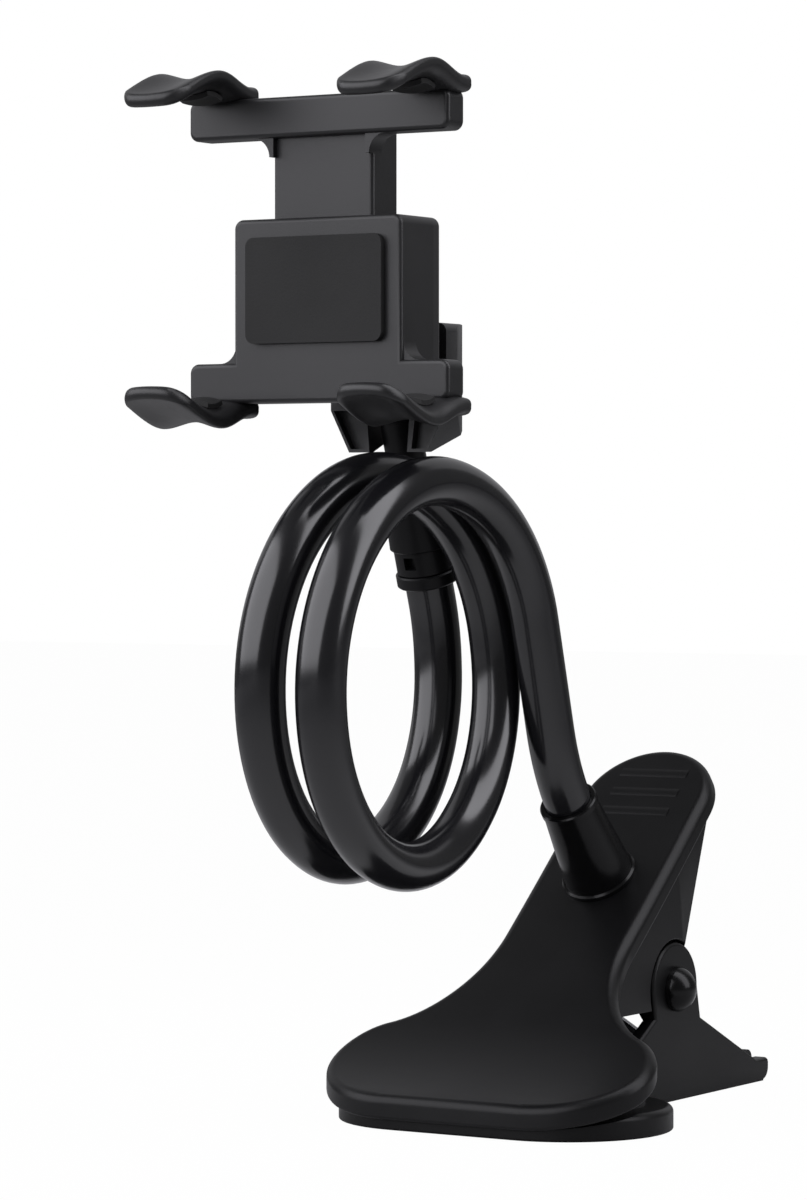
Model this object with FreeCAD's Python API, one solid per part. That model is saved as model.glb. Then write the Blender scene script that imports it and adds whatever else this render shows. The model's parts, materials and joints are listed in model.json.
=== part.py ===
import FreeCAD, Part
import math
import os

V = FreeCAD.Vector

# Phone holder: sprung clamp base, wound gooseneck arm and four-claw sliding cradle.
# Millimetres. The base plane is z = 0, the clamp pivot lies above the origin,
# the bite points to -Y and the handle to +Y.

# Clamp pivot
pivot_z = 24.9          # height of the pivot axis
pin_d = 5.0
pin_fit = 0.05          # radial running clearance of the pin
cap_d = 10.0            # domed cap on each end of the pin
cap_h = 4.6
cap_rim = 1.0           # straight rim under the dome
cap_socket = 2.0        # length of pin held in a cap
ear_half = 13.5         # half the width over the ears
ear_t = 3.0
ear_r = 10.4
side_gap = 0.35         # between an ear and the skirt beside it

# Lower jaw
low_half = 38.0
low_front = 75.3        # from the pivot to the front edge
low_corner_r = 23.0     # front corners of the plan
low_lobe_r = 23.0       # sides of the plan behind them
low_waist_r = 21.0
low_t = 5.2             # plate thickness at the lobes
bite_t = 2.3            # plate thickness at the front edge
bite_len = 17.0
floor_t = 3.0           # floor between the side walls
low_rear = 45.5
wall_rear_z = 5.2       # wall height at the rear tip
wall_slope_y = 12.0     # where the rear slope of a wall meets the ear
wall_slope_z = 17.6
wall_foot_y = 37.0      # how far a wall runs forward of the pivot
lip_r = 2.2             # half-round finger lip at the rear
lip_rise = 2.0          # lip above the wall beside it
toe_in = 1.0            # step in the wall under the front of an ear
toe_drop = 6.0
low_round = 1.5
low_under = 0.5         # edge on the base plane
ear_round = 0.8
tip_round = 1.2         # upper corner of the rear tip

# Upper jaw
up_half = 39.0
up_overhang = 1.7       # front edge ahead of the lower jaw's
up_corner_r = 24.0
up_lobe_r = 12.5
up_waist_r = 25.0
handle_half = 16.0
handle_blank = 56.0     # length of the handle's blank before it meets the spade
plate_t = 5.0
rim_z = 7.3             # height of the front edge of the top face
rim_run = 4.0           # straight run behind the front edge
rim_angle = 17.0
bend_r = 85.0
bend_angle = 37.0       # slope where the bend ends
sweep_r = 1036.0        # gentle sweep of the handle
sweep_len = 87.6
top_round = 2.3
under_round = 0.8
skirt_t = 2.4
skirt_lead = 2.0        # degrees of the bend that a skirt covers
skirt_low = 4.0         # lower edge of the skirts below the pivot
heel_y = 9.8            # rear corner of a skirt, from the pivot
heel_z = 10.3
skirt_rear_y = 19.5     # rear edge of a skirt under the handle
skirt_rear_z = 36.0
lug_r = 8.4
lug_angle = 20.0        # where the heel meets the lug
cheek_gap = 0.6         # round the ear that a cheek hugs
cheek_in = 0.3          # cheek below the outer face of the ear
cheek_lead = 1.5        # level run before the ear
cheek_round = 0.4
rib_count = 3           # finger ribs on the handle
rib_h = 0.45
rib_w = 2.8
rib_len = 17.0
rib_pitch = 6.1
rib_start = 8.3         # from the end of the handle
rib_sink = 0.5          # rooted in the handle by this much

# Rubber pads in the bite
pad_t = 1.4
pad_inset = 6.0
pad_len = 17.0
pad_gap = 0.1
groove_pitch = 4.0
groove_w = 1.4
groove_d = 0.6
low_pad_in = 19.3       # from the jaw's front edge to the pad
up_pad_in = 13.0

# Torsion spring on the pin
coil_wire = 1.8
coil_r = 4.6
coil_pitch = 2.1
coil_turns = 4
coil_ease = 0.9         # arc radius as a share of the coil radius
coil_shift = 1.9        # sideways, so that the upper leg clears the washer
coil_leg_y = 31.0       # end of the lower leg on the floor
leg_gap = 0.3

# Boot that holds the arm on the upper jaw
boot_at = 46.0          # from the end of the bend, along the sweep
boot_len = 22.5
boot_base_d = 15.6
boot_top_d = 12.4
boot_ring_d = 17.0
boot_ring_h = 1.3
boot_lip_h = 1.6
boot_lip = 0.3          # lip proud of the taper
boot_chamfer = 0.4
boot_floor = 4.0
boot_fit = 0.12
seat_gap = 0.05
screw_d = 4.0
screw_fit = 0.1
screw_head_d = 7.6
screw_head_h = 2.6
screw_chamfer = 0.8
screw_slot_w = 1.0
screw_slot_d = 1.0
screw_in = 9.0          # thread length in the core
washer_d = 11.0
washer_t = 1.0

# Gooseneck arm
arm_d = 10.5
core_d = 6.0
core_fit = 0.05
core_short = 2.0        # core end below the top of the spigot
loop_r = 40.7           # radius of the loops at the centre of the tube
loop_ahead = 67.44      # centre of the loops from the foot of the boot
loop_up = 46.24
loop_climb = 0.95       # rise of the winding in a turn
loop_entry = 15.0       # angle on the loop where the tube joins it
loop_turns = 2
loop_corners = 6        # arcs in a turn
loop_front_x = -3.6     # sideways place at the front of the first loop
loop_pitch = 15.0
loop_ease = 0.985       # arc radius as a share of the loop radius
entry_bend_r = 48.0
neck_bend_r = 40.0
riser_len = 7.5         # from the end of the loops to the bend at the neck

# Ferrule and ball neck, measured along the leaning neck axis
neck_lean = 19.0
flange_at = 10.5
flange_d = 13.8
flange_h = 2.9
spigot_d = 11.0
spigot_len = 13.0
spigot_fit = 0.09
spigot_chamfer = 0.6
spigot_top = 1.5        # closed end of the spigot
tube_in = 1.4           # length of tube held in the flange
swivel_gap = 0.3
collar_d = 12.8
collar_len = 5.4
sleeve_d = 14.2
sleeve_len = 14.5
sleeve_taper = 0.5
neck_chamfer = 0.3
window_w = 2.8
window_h = 2.8
window_at = 1.6         # snap window above the foot of the collar
snap_d = 1.0            # groove in the spigot behind the windows
cone_len = 4.0
stem_d = 8.8
ball_at = 54.8
ball_r = 8.0
socket_fit = 0.3

# Cradle, upright in front of the ball
grip_ahead = 37.0       # from the ball centre to the middle of the claws
device_back = 4.5       # from the middle of the claws to the back plane
back_pad_t = 1.5
tray_half = 21.0
tray_d = 13.0
tray_wall = 2.2
tray_bottom_z = -3.0    # heights from the ball centre
tray_top_z = 35.5
fork_half = 12.5
slide_gap = 0.3
back_t = 3.0
back_pad_inset = 4.0
screw_inset = 5.0       # back screws from the ends of the tray
bar_d = 6.0             # crossbar that carries a pair of claws
bar_h = 8.0
bar_drop = 0.6          # crossbar below the tray floor
claw_pitch = 53.0
claw_w = 16.0
claw_t = 3.8
claw_tip_t = 3.0
claw_dish = 2.1         # hollow across a claw
claw_bow = 6.8          # fall from the crossbar to the hump
claw_root = 0.26        # share of the bow at the crossbar's rear
claw_heel = 0.42        # and at its front
claw_reach = 17.6       # from hump to lip
claw_rise = 6.0         # rise of the lip
claw_knee = 0.5         # share of the reach at the knee
claw_knee_rise = 0.3    # share of the rise there
claw_corner = 0.16      # lip cut back at the corners, as a share of the strap
claw_edge = 2.2         # rounded border along the sides
claw_thin = 0.75        # share of the thickness lost there
claw_steps = 3          # sections over the rounded border
claw_mid = 0.35         # section nearest the middle, as a share of the half width
opening = 69.6          # between the claws
slide_travel = 12.0     # either way from rest
fork_z = 12.0           # foot of the fork
fork_wall = 2.0
fork_sink = 1.0         # fork end inside the crossbar
pocket_half = 4.2       # spring pocket in the fork
claw_pad_t = 1.0
claw_pad_w = 10.0
claw_pad_len = 7.0
edge_r = 2.0
soft_r = 1.0            # moulded edge of the cradle parts
shoulder_r = 4.0        # hollow between a crossbar and what carries it

# Grip spring
grip_wire = 0.9
grip_r = 2.4
grip_turns = 6
peg_d = 2.6
peg_low_z = 4.5
peg_high_z = 30.0

# Ball socket
block_half = 13.0
block_low_z = -3.0
block_top_z = 14.0
split_y = 2.4           # split of the socket, in front of the ball centre
split_gap = 0.2
cover_d = 13.6
cover_half = 14.7
cover_low_half = 10.0
cover_rear_half = 10.6
cover_low_z = -13.7
cover_wide_z = -4.6
cover_heel_z = -8.8
cover_toe = 1.5         # flat under the cover before the heel slope
slot_half = 5.4
slot_top_z = -3.0
panel_d = 2.0
panel_rim = 1.6
panel_slope = 2.24      # rim beside the slanted edge
small_screw_d = 2.4
small_head_d = 4.6
small_head_h = 1.4
small_chamfer = 0.5
cross_w = 0.7           # cross recess
cross_len = 2.8
cross_d = 0.7
head_margin = 1.2       # from a screw head to the edge of the cover
tip_gap = 1.0           # hole deeper than its screw
small_len = 9.0
small_fit = 0.05

past = 1.0              # cutting shapes run past the surface by this much
tiny = 0.01             # tolerance when edges are picked

up_front = low_front + up_overhang
low_pad_front = low_front - low_pad_in
up_pad_front = up_front - up_pad_in
pivot = V(0, 0, pivot_z)
skirt_out = ear_half - ear_t - side_gap
AXIS_X = V(1, 0, 0)


def rotated(vector, degrees):
    """Turn a vector about the X direction."""
    return FreeCAD.Rotation(AXIS_X, degrees).multVec(vector)


def place(origin, degrees):
    return FreeCAD.Placement(origin, FreeCAD.Rotation(AXIS_X, degrees))


def polygon(points):
    return Part.Face(Part.makePolygon(points + [points[0]]))


def slab_x(points, x0, x1):
    """Extrude a (y, z) outline along X."""
    face = polygon([V(x0, y, z) for y, z in points])
    return face.extrude(V(x1 - x0, 0, 0))


def arc(start, middle, end):
    return Part.Arc(start, middle, end).toShape()


def line(start, end):
    return Part.LineSegment(start, end).toShape()


def mirrored(shape, x=0.0):
    return shape.mirror(V(x, 0, 0), AXIS_X)


def cylinder_x(radius, x0, x1, y, z):
    return Part.makeCylinder(radius, x1 - x0, V(x0, y, z), AXIS_X)


def box(x0, x1, y0, y1, z0, z1):
    return Part.makeBox(x1 - x0, y1 - y0, z1 - z0, V(x0, y0, z0))


def revolved(profile):
    """Turn an (r, z) outline round the Z axis."""
    face = polygon([V(r, 0, z) for r, z in profile])
    return face.revolve(V(0, 0, 0), V(0, 0, 1), 360)


def save(name, *solids):
    shape = solids[0] if len(solids) == 1 else Part.makeCompound(list(solids))
    shape.exportStep("parts/" + name + ".step")
    print(name, "solids", len(shape.Solids), "volume", round(shape.Volume, 1), "valid", shape.isValid())


def ray(centre, radius, angle):
    return centre + V(math.cos(angle), math.sin(angle), 0) * radius


def spade(front, half, corner_r, lobe_r, waist_r, waist_half, rear):
    """Plan of a jaw: straight front, round corners and lobes, hollow waist and straight sides."""
    split = math.radians(-30)
    lobe = V(half - lobe_r, corner_r - front + (corner_r - lobe_r) * math.sin(split), 0)
    corner_mid = ray(lobe, lobe_r - corner_r, split)
    reach = lobe_r + waist_r
    across = waist_half + waist_r - lobe.x
    hollow = V(waist_half + waist_r, lobe.y + math.sqrt(reach ** 2 - across ** 2), 0)
    touch = lobe + (hollow - lobe) * (lobe_r / reach)
    turn = math.atan2(touch.y - lobe.y, touch.x - lobe.x)
    corner = V(corner_mid.x, -front, 0)
    corner_point = ray(corner_mid, corner_r, (split - math.pi / 2) / 2)
    side = ray(lobe, lobe_r, split)
    lobe_point = ray(lobe, lobe_r, (split + turn) / 2)
    hollow_point = ray(hollow, waist_r, math.pi + turn / 2)
    waist = V(waist_half, hollow.y, 0)
    tail = V(waist_half, rear, 0)
    right = [arc(corner, corner_point, side), arc(side, lobe_point, touch),
             arc(touch, hollow_point, waist), line(waist, tail)]
    left = [mirrored(edge) for edge in reversed(right)]
    front_edge = line(V(-corner.x, -front, 0), corner)
    rear_edge = line(tail, V(-tail.x, rear, 0))
    return Part.Face(Part.Wire(Part.sortEdges([front_edge] + right + [rear_edge] + left)[0]))


def smooth_path(points, radii):
    """Straight runs joined by tangent arcs, one radius for each inner point."""
    edges = []
    at = points[0]
    for before, corner, after, radius in zip(points, points[1:], points[2:], radii):
        back = (before - corner).normalize()
        ahead = (after - corner).normalize()
        half_turn = (math.pi - back.getAngle(ahead)) / 2
        reach = radius * math.tan(half_turn)
        start = corner + back * reach
        end = corner + ahead * reach
        inward = (back + ahead).normalize()
        middle = corner + inward * (radius / math.cos(half_turn) - radius)
        edges.append(line(at, start))
        edges.append(arc(start, middle, end))
        at = end
    edges.append(line(at, points[-1]))
    return Part.Wire(edges)


def pipe(path, radius):
    """Round bar swept along a path."""
    first = path.OrderedEdges[0]
    start = first.valueAt(first.FirstParameter)
    heading = first.tangentAt(first.FirstParameter)
    ring = Part.Wire([Part.Circle(start, heading, radius).toShape()])
    return path.makePipeShell([ring], True, False)


# Upper jaw profile in the middle plane
rim_top = V(0, -up_front, rim_z)
rim_end = rim_top + rotated(V(0, rim_run, 0), rim_angle)
bend_centre = rim_end + rotated(V(0, 0, bend_r), rim_angle)
sweep_start = bend_centre - rotated(V(0, 0, bend_r), bend_angle)
sweep_centre = sweep_start + rotated(V(0, 0, sweep_r), bend_angle)


def sweep_angle(along):
    return bend_angle + math.degrees(along / sweep_r)


def sweep_point(along, depth=0.0):
    """Point on the handle's top face, or below it by depth."""
    return sweep_centre - rotated(V(0, 0, sweep_r + depth), sweep_angle(along))


def bend_point(angle, depth=0.0):
    return bend_centre - rotated(V(0, 0, bend_r + depth), angle)


def bend_angle_at(y, depth=0.0):
    return math.degrees(math.asin((y - bend_centre.y) / (bend_r + depth)))


def plate_slab():
    """The bent plate before its outline is cut."""
    mid_bend = (rim_angle + bend_angle) / 2
    blank_len = sweep_len + plate_t
    mid_sweep = blank_len / 2
    top_end = sweep_point(blank_len)
    low_end = sweep_point(blank_len, plate_t)
    low_bend = bend_point(bend_angle, plate_t)
    low_rim_end = bend_point(rim_angle, plate_t)
    drop = plate_t / math.cos(math.radians(rim_angle))
    low_rim = V(0, -up_front, rim_z - drop)
    edges = [line(rim_top, rim_end), arc(rim_end, bend_point(mid_bend), sweep_start),
             arc(sweep_start, sweep_point(mid_sweep), top_end), line(top_end, low_end),
             arc(low_end, sweep_point(mid_sweep, plate_t), low_bend),
             arc(low_bend, bend_point(mid_bend, plate_t), low_rim_end),
             line(low_rim_end, low_rim), line(low_rim, rim_top)]
    face = Part.Face(Part.Wire(edges))
    width = up_half + past
    face.translate(V(-width, 0, 0))
    return face.extrude(V(2 * width, 0, 0))


def plate_outline():
    """Upright spade in front, and a round-ended handle square to the sweep."""
    end = sweep_point(sweep_len)
    join = end.y - 2 * handle_half
    plan = spade(up_front, up_half, up_corner_r, up_lobe_r, up_waist_r, handle_half, join)
    front = plan.extrude(V(0, 0, 2 * end.z))
    back = -handle_blank
    h = handle_half
    edges = [line(V(-h, back, 0), V(h, back, 0)), line(V(h, back, 0), V(h, -h, 0)),
             arc(V(h, -h, 0), V(0, 0, 0), V(-h, -h, 0)), line(V(-h, -h, 0), V(-h, back, 0))]
    handle = Part.Face(Part.Wire(edges)).extrude(V(0, 0, 4 * plate_t))
    handle.translate(V(0, 0, -3 * plate_t))
    handle.Placement = place(end, sweep_angle(sweep_len)).multiply(handle.Placement)
    return front.fuse(handle).removeSplitter()


def rim_edges(solid, depth):
    """Edges that run round the plate on the face at this depth."""
    chosen = []
    for edge in solid.Edges:
        p = edge.valueAt((edge.FirstParameter + edge.LastParameter) / 2)
        flat = V(0, p.y, p.z)
        bend_off = abs((flat - bend_centre).Length - bend_r - depth)
        sweep_off = abs((flat - sweep_centre).Length - sweep_r - depth)
        on_bend = bend_off < tiny and p.y < sweep_start.y + plate_t
        on_sweep = sweep_off < tiny and p.y > sweep_start.y - plate_t
        normal = rotated(V(0, 0, 1), rim_angle)
        on_rim = abs((flat - rim_top).dot(normal) + depth) < tiny and p.y < rim_end.y + plate_t
        inside = abs(p.x) < tiny and -up_front + tiny < p.y < sweep_point(sweep_len).y - plate_t
        if (on_bend or on_sweep or on_rim) and not inside:
            chosen.append(edge)
    return chosen


def skirt_outline():
    """Side view of a skirt with its pivot lug."""
    depth = plate_t / 2
    low_z = pivot_z - skirt_low
    front = bend_point(bend_angle - skirt_lead, depth)
    rear_along = sweep_len - handle_half / 2
    rear = sweep_point(rear_along, depth)
    middle = sweep_point(rear_along / 2, depth)
    start = sweep_point(0, depth)
    heel = pivot + V(0, heel_y, heel_z)
    back = pivot + V(0, skirt_rear_y, skirt_rear_z)
    lug_rear = pivot + rotated(V(0, lug_r, 0), lug_angle)
    lug_low = pivot + V(0, 0, -lug_r)
    lug_front = V(0, -math.sqrt(lug_r ** 2 - skirt_low ** 2), low_z)
    foot = V(0, front.y + depth, low_z)
    edges = [line(front, start), arc(start, middle, rear), line(rear, back), line(back, heel),
             line(heel, lug_rear), arc(lug_rear, lug_low, lug_front),
             line(lug_front, foot), line(foot, front)]
    return Part.Face(Part.Wire(edges))


def upper_skirt():
    """Right-hand skirt that slopes out to a cheek level with the ear."""
    level = ear_half - cheek_in
    room = ear_r + cheek_gap
    face = skirt_outline()
    face.translate(V(skirt_out - skirt_t, 0, 0))
    skirt = face.extrude(V(level - skirt_out + skirt_t, 0, 0))
    skirt = skirt.cut(cylinder_x(room, skirt_out, ear_half, 0, pivot_z))
    from_centre = pivot - sweep_centre
    angle = math.degrees(math.atan2(from_centre.y, -from_centre.z))
    along = math.radians(angle - bend_angle) * sweep_r
    drop = from_centre.Length - sweep_r - plate_t - room - cheek_lead
    above = [V(skirt_out, 0, 0), V(level, 0, -drop), V(level + past, 0, -drop),
             V(level + past, 0, 2 * plate_t), V(skirt_out, 0, 2 * plate_t)]
    slope = polygon(above).extrude(V(0, 2 * sweep_len, 0))
    slope.translate(V(0, -sweep_len, 0))
    slope.Placement = place(sweep_point(along, plate_t), angle).multiply(slope.Placement)
    skirt = skirt.cut(slope)
    rim = [e for e in skirt.Edges if e.BoundBox.XMin > level - tiny and hugs_ear(e, room)]
    return skirt.makeFillet(cheek_round, rim)


def hugs_ear(edge, room):
    middle = edge.valueAt((edge.FirstParameter + edge.LastParameter) / 2)
    return abs(math.hypot(middle.y, middle.z - pivot_z) - room) < tiny


def finger_ribs():
    ribs = []
    side = rib_w / 2
    for i in range(rib_count):
        along = sweep_len - rib_start - i * rib_pitch
        front = V(0, -side, 0)
        rear = V(0, side, 0)
        root = V(0, 0, -rib_sink)
        edges = [arc(front, V(0, 0, rib_h), rear), line(rear, rear + root),
                 line(rear + root, front + root), line(front + root, front)]
        bar = Part.Face(Part.Wire(edges)).extrude(V(rib_len, 0, 0))
        bar.translate(V(-rib_len / 2, 0, 0))
        bar.Placement = place(sweep_point(along), sweep_angle(along)).multiply(bar.Placement)
        ribs.append(bar)
    return ribs


boot_origin = sweep_point(boot_at)
boot_angle = sweep_angle(boot_at)
boot_place = place(boot_origin, boot_angle)
loop_y = boot_origin.y - loop_ahead
loop_z = boot_origin.z + loop_up


def upper_jaw():
    plate = plate_slab().common(plate_outline()).removeSplitter()
    plate = plate.makeFillet(top_round, rim_edges(plate, 0.0))
    plate = plate.makeFillet(under_round, rim_edges(plate, plate_t))
    skirt = upper_skirt()
    jaw = plate.fuse([skirt, mirrored(skirt)] + finger_ribs())
    jaw = jaw.cut(cylinder_x(pin_d / 2 + pin_fit, -ear_half, ear_half, 0, pivot_z))
    hole = Part.makeCylinder(screw_d / 2 + screw_fit, 3 * plate_t, V(0, 0, -2 * plate_t))
    hole.Placement = boot_place
    return jaw.cut(hole).removeSplitter()


def lower_wall():
    """Right-hand side wall with its ear."""
    rear_corner = low_rear - floor_t
    ear_rear = V(0, ear_r, pivot_z)
    ear_top = V(0, 0, pivot_z + ear_r)
    ear_front = V(0, -ear_r, pivot_z)
    toe = V(0, toe_in - ear_r, pivot_z - toe_drop)
    tip_start = V(0, low_rear - tip_round, wall_rear_z)
    tip_end = V(0, low_rear, wall_rear_z - tip_round)
    tip_top = V(0, low_rear, wall_rear_z) - V(0, tip_round, tip_round) * (1 - math.sqrt(0.5))
    nose = V(0, low_rear, 0) + V(0, -floor_t, floor_t) * (1 - math.sqrt(0.5))
    edges = [line(V(0, -wall_foot_y, 0), V(0, -wall_foot_y, floor_t)),
             line(V(0, -wall_foot_y, floor_t), toe), line(toe, ear_front),
             arc(ear_front, ear_top, ear_rear), line(ear_rear, V(0, wall_slope_y, wall_slope_z)),
             line(V(0, wall_slope_y, wall_slope_z), V(0, rear_corner - floor_t, wall_rear_z)),
             line(V(0, rear_corner - floor_t, wall_rear_z), tip_start), arc(tip_start, tip_top, tip_end),
             line(tip_end, V(0, low_rear, floor_t)), arc(V(0, low_rear, floor_t), nose, V(0, rear_corner, 0)),
             line(V(0, rear_corner, 0), V(0, -wall_foot_y, 0))]
    face = Part.Face(Part.Wire(edges))
    face.translate(V(ear_half - ear_t, 0, 0))
    wall = face.extrude(V(ear_t, 0, 0))
    outer = [e for e in wall.Edges if e.BoundBox.XMin > ear_half - tiny]
    return wall.makeFillet(ear_round, [e for e in outer if e.BoundBox.ZMin > floor_t / 2 + tiny])


def lower_jaw():
    rear_y = -wall_foot_y / 3
    plate = spade(low_front, low_half, low_corner_r, low_lobe_r, low_waist_r, ear_half, rear_y)
    plate = plate.extrude(V(0, 0, low_t))
    around = [e for e in plate.Edges if e.BoundBox.ZMin > low_t - tiny and e.BoundBox.YMin < rear_y - tiny]
    plate = plate.makeFillet(low_round, around)
    under = [e for e in plate.Edges if e.BoundBox.ZMax < tiny and e.BoundBox.YMin < rear_y - tiny]
    plate = plate.makeFillet(low_under, under)
    wedge = slab_x([(-low_front - past, bite_t), (-low_front, bite_t), (-low_front + bite_len, low_t),
                    (-low_front + bite_len, 2 * low_t), (-low_front - past, 2 * low_t)],
                   -low_half - past, low_half + past)
    plate = plate.cut(wedge)
    floor = box(-ear_half, ear_half, rear_y, low_rear - floor_t, 0, floor_t)
    inner = ear_half - ear_t
    lip_z = wall_rear_z + lip_rise - lip_r
    lip_y = low_rear - floor_t
    lip = cylinder_x(lip_r, -inner, inner, lip_y - lip_r, lip_z)
    lip_foot = box(-inner, inner, lip_y - 2 * lip_r, lip_y, 0, lip_z)
    wall = lower_wall()
    jaw = plate.fuse([floor, lip, lip_foot, wall, mirrored(wall)])
    jaw = jaw.cut(cylinder_x(pin_d / 2 + pin_fit, -low_half, low_half, 0, pivot_z))
    return jaw.removeSplitter()


def pad_plan(front, half, corner_r, lobe_r, waist_r, waist_half, pad_front):
    """The jaw's plan, inset and cut to the pad's length."""
    inner = spade(front - pad_inset, half - pad_inset, corner_r - pad_inset, lobe_r - pad_inset,
                  waist_r + pad_inset, waist_half - pad_inset, 0)
    window = box(-half, half, -pad_front, -pad_front + pad_len, -past, past)
    return inner.common(window)


def lower_jaw_pad():
    plan = pad_plan(low_front, low_half, low_corner_r, low_lobe_r, low_waist_r, ear_half, low_pad_front)
    pad = plan.extrude(V(0, 0, pad_t))
    pad.translate(V(0, 0, low_t))
    for i in range(int(pad_len / groove_pitch)):
        y = -low_pad_front + groove_pitch * (i + 0.5)
        pad = pad.cut(box(-low_half, low_half, y, y + groove_w, low_t + pad_t - groove_d, low_t + 2 * pad_t))
    return pad


def upper_jaw_pad():
    """Follows the underside of the bend."""
    plan = pad_plan(up_front, up_half, up_corner_r, up_lobe_r, up_waist_r, handle_half, up_pad_front)
    column = plan.extrude(V(0, 0, 3 * pivot_z))
    inner = plate_t + pad_gap
    outer = inner + pad_t

    def sheet(depth_top, depth_low):
        edges = [arc(bend_point(rim_angle, depth_top), bend_point((rim_angle + bend_angle) / 2, depth_top),
                     bend_point(bend_angle, depth_top)),
                 line(bend_point(bend_angle, depth_top), bend_point(bend_angle, depth_low)),
                 arc(bend_point(bend_angle, depth_low), bend_point((rim_angle + bend_angle) / 2, depth_low),
                     bend_point(rim_angle, depth_low)),
                 line(bend_point(rim_angle, depth_low), bend_point(rim_angle, depth_top))]
        face = Part.Face(Part.Wire(edges))
        face.translate(V(-up_half, 0, 0))
        return face.extrude(V(2 * up_half, 0, 0))

    pad = sheet(inner, outer).common(column)
    for i in range(int(pad_len / groove_pitch)):
        angle = bend_angle_at(-up_pad_front + groove_pitch * (i + 0.5), outer)
        groove = box(-up_half, up_half, 0, groove_w, -groove_d, groove_d)
        groove.Placement = place(bend_point(angle, outer), angle).multiply(groove.Placement)
        pad = pad.cut(groove)
    return pad


def pivot_pin():
    reach = ear_half + cap_socket
    return cylinder_x(pin_d / 2, -reach, reach, 0, pivot_z)


def pivot_cap():
    """Right-hand domed cap, a slice of a ball on a short rim."""
    rise = cap_h - cap_rim
    radius = (cap_d ** 2 / 4 + rise ** 2) / (2 * rise)
    dome = Part.makeSphere(radius, V(cap_h - radius, 0, 0))
    dome = dome.common(box(cap_rim, cap_h + past, -cap_d, cap_d, -cap_d, cap_d))
    cap = Part.makeCylinder(cap_d / 2, cap_rim, V(0, 0, 0), AXIS_X).fuse(dome)
    cap = cap.cut(Part.makeCylinder(pin_d / 2, cap_socket, V(0, 0, 0), AXIS_X)).removeSplitter()
    cap.translate(V(ear_half, 0, pivot_z))
    return cap


def torsion_spring():
    """Lower leg, coil round the pin and upper leg in one wire."""
    corner = [V(0, -coil_r, -coil_r), V(0, -coil_r, coil_r), V(0, coil_r, coil_r), V(0, coil_r, -coil_r)]
    steps = 4 * coil_turns + 1
    first_x = coil_shift - coil_pitch * coil_turns / 2
    points = [V(first_x, coil_leg_y, floor_t + coil_wire / 2 + leg_gap)]
    for i in range(steps):
        points.append(pivot + corner[i % 4] + V(first_x + coil_pitch * i / 4, 0, 0))
    leg_x = points[-1].x
    under = plate_t + coil_wire / 2 + leg_gap
    reach = sweep_centre.z - math.sqrt((sweep_r + under) ** 2 - (sweep_centre.y + coil_r) ** 2)
    points.append(V(leg_x, -coil_r, reach - coil_wire / 2))
    radii = [coil_ease * coil_r] * steps
    return pipe(smooth_path(points, radii), coil_wire / 2)


def arm_boot():
    top = boot_top_d / 2
    bore = arm_d / 2 + boot_fit
    hole = screw_d / 2 + screw_fit
    ring = boot_ring_d / 2
    lip = top + boot_lip
    profile = [(hole, 0), (ring, 0), (ring, boot_ring_h - boot_chamfer), (ring - boot_chamfer, boot_ring_h),
               (boot_base_d / 2, boot_ring_h), (top, boot_len - boot_lip_h), (lip, boot_len - boot_lip_h),
               (lip, boot_len - boot_lip), (top, boot_len), (bore, boot_len),
               (bore, boot_floor), (hole, boot_floor)]
    boot = revolved(profile)
    boot.translate(V(0, 0, seat_gap))
    boot.Placement = boot_place.multiply(boot.Placement)
    return boot


def arm_screw():
    head_low = -plate_t - washer_t - screw_head_h
    r = screw_d / 2
    head = screw_head_d / 2
    profile = [(0, head_low), (head - screw_chamfer, head_low), (head, head_low + screw_chamfer),
               (head, head_low + screw_head_h), (r, head_low + screw_head_h),
               (r, boot_floor + screw_in), (0, boot_floor + screw_in)]
    screw = revolved(profile)
    slot = box(-screw_slot_w / 2, screw_slot_w / 2, -screw_head_d, screw_head_d,
               head_low - past, head_low + screw_slot_d)
    screw = screw.cut(slot)
    screw.Placement = boot_place
    return screw


def arm_washer():
    low = -plate_t - washer_t
    hole = screw_d / 2 + screw_fit
    rim = washer_d / 2
    washer = revolved([(hole, low), (rim, low), (rim, low + washer_t), (hole, low + washer_t)])
    washer.Placement = boot_place
    return washer


def loop_x(angle):
    """Sideways drift of the winding."""
    if angle < 180.0:
        return loop_front_x * (angle - loop_entry) / (180.0 - loop_entry)
    return loop_front_x - loop_pitch * (angle - 180.0) / 360.0


def arm_points():
    """Boot floor, lead into the loops, winding, riser and neck."""
    normal = rotated(V(0, 0, 1), boot_angle)
    start = boot_origin + normal * (boot_floor + seat_gap)
    count = loop_corners * loop_turns
    step = (360.0 * loop_turns - loop_entry) / count
    corner_r = loop_r / math.cos(math.radians(step / 2))
    corners = []
    for i in range(count):
        angle = loop_entry + step * (i + 0.5)
        turn = math.radians(angle)
        middle = V(loop_x(angle), loop_y, loop_z + loop_climb * angle / 360.0)
        corners.append(middle + V(0, math.cos(turn), math.sin(turn)) * corner_r)
    entry = math.radians(loop_entry)
    join = V(0, loop_y + loop_r * math.cos(entry), loop_z + loop_r * math.sin(entry))
    heading = V(0, -math.sin(entry), math.cos(entry))
    across = V(0, heading.z, -heading.y)
    lead = start + normal * ((join - start).dot(across) / normal.dot(across))
    bend = V(loop_x(360.0 * loop_turns), loop_y + loop_r, loop_z + loop_climb * loop_turns + riser_len)
    return [start, lead] + corners + [bend]


neck_origin = arm_points()[-1]
neck_axis = rotated(V(0, 0, 1), neck_lean)
neck_place = place(neck_origin, neck_lean)
ball = neck_origin + neck_axis * ball_at
head_x = ball.x


def arm_path(end):
    points = arm_points()
    count = len(points) - 3
    radii = [entry_bend_r] + [loop_r * loop_ease] * count + [neck_bend_r]
    return smooth_path(points + [neck_origin + neck_axis * end], radii)


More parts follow.
